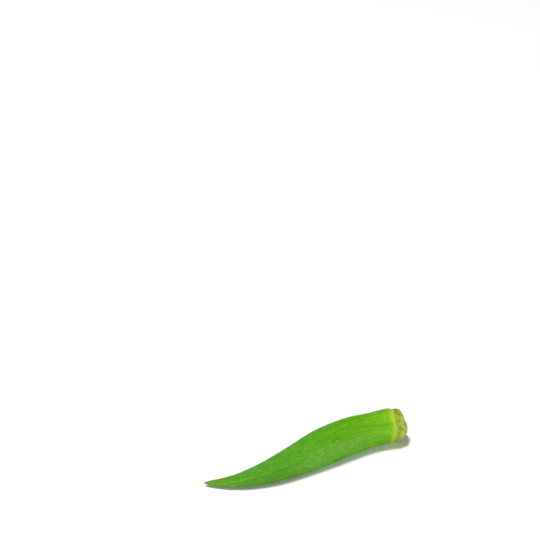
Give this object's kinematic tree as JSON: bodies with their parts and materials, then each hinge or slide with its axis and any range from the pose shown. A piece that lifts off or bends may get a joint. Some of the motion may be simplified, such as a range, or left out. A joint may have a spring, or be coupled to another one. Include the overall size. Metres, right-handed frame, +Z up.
{
  "type": "okra pod",
  "caption": "Picked okra pod lying on its side: a ribbed, tapering green pod with a flared collar, a low cap and the cut end of its stalk.",
  "frame": {"origin": "on the surface that the pod lies on, under the middle of the pod's box", "axes": "+X from the pointed tip to the cut stalk, +Z up, -Y towards the side that shows one rib in the middle"},
  "size_m": [0.1088, 0.0218, 0.0177],
  "materials": {
    "pod_skin": "fresh green plant skin with a soft satin sheen and fine down, yellow-green at the collar"
  },
  "bodies": {
    "root": {"okra_pod": "pod_skin"}
  },
  "joints": []
}
